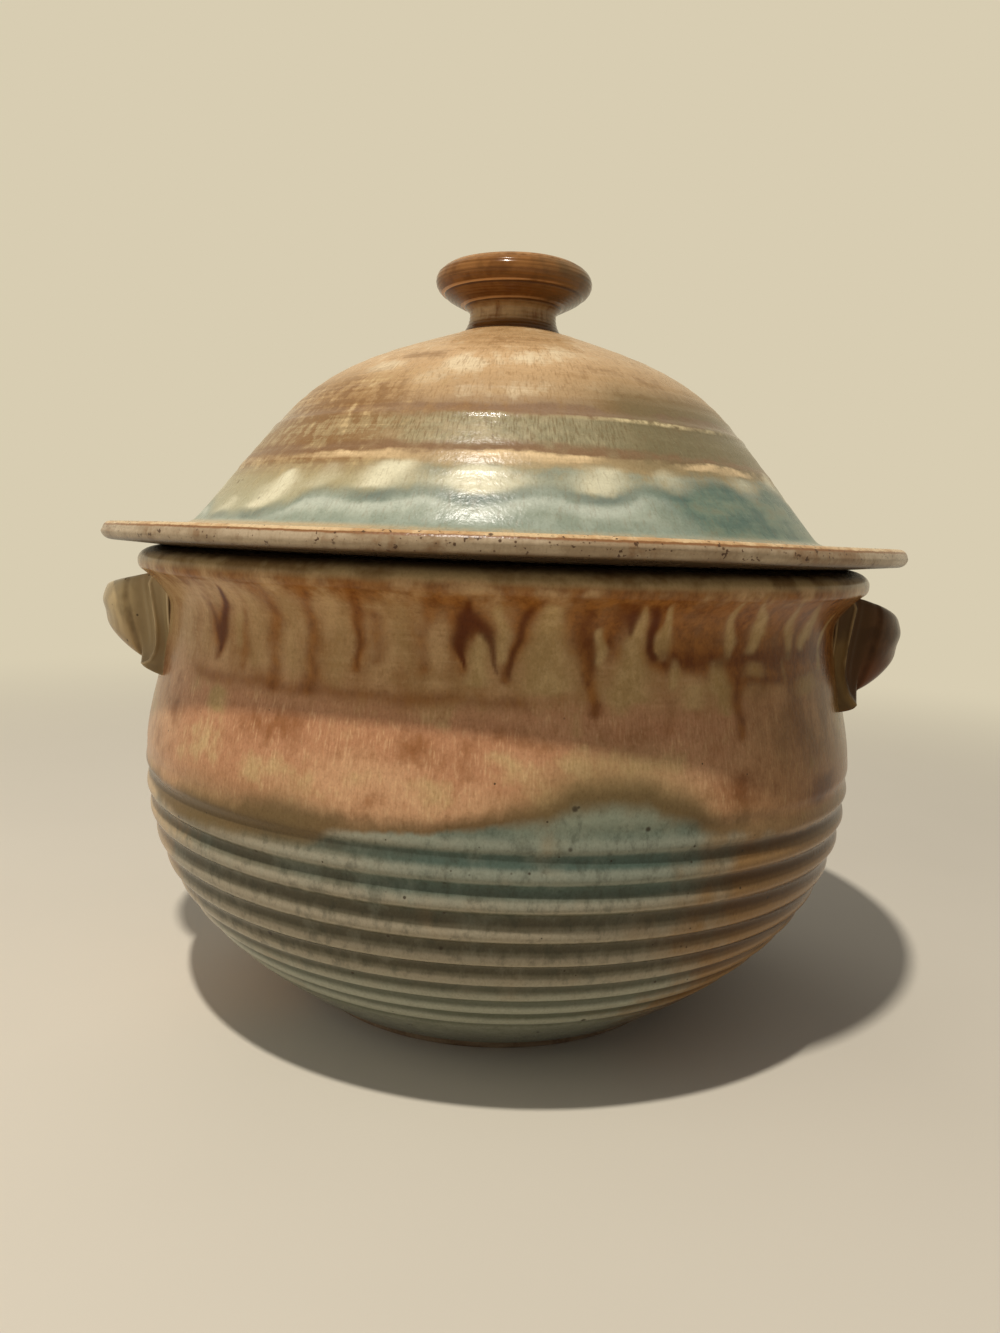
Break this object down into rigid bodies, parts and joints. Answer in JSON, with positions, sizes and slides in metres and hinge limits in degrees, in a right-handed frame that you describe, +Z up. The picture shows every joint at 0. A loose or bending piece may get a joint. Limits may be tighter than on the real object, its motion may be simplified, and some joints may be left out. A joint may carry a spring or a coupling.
{
  "type": "lidded casserole",
  "caption": "Round hand-thrown stoneware casserole with throwing ridges and strap handles, and a loose domed lid with an overhanging flange, a locating ring and a turned knob.",
  "frame": {"origin": "on the table, at the centre of the foot ring", "axes": "+Z up along the axis of the pot and the lid, +X through the handles to the viewer's right, +Y away from the viewer"},
  "size_m": [0.2774, 0.268, 0.25],
  "materials": {
    "pot_glaze": "glossy layered glaze, rust and salmon over blue-green",
    "lid_glaze": "glossy layered glaze, cream and olive over pale celadon",
    "handle_glaze": "glossy olive-brown glaze",
    "knob_glaze": "glossy amber-brown glaze",
    "bare_clay": "bare fired stoneware, wiped clean of glaze"
  },
  "bodies": {
    "pot": {"pot_body": "pot_glaze", "foot_ring": "bare_clay", "left_handle": "handle_glaze", "right_handle": "handle_glaze"},
    "lid": {"lid_dome": "lid_glaze", "lid_locating_ring": "bare_clay", "lid_knob": "knob_glaze"}
  },
  "joints": [
    {"name": "lid_lift", "type": "slide", "parent": "pot", "child": "lid", "axis": [0, 0, 1], "range_m": [0, 0.15]}
  ]
}
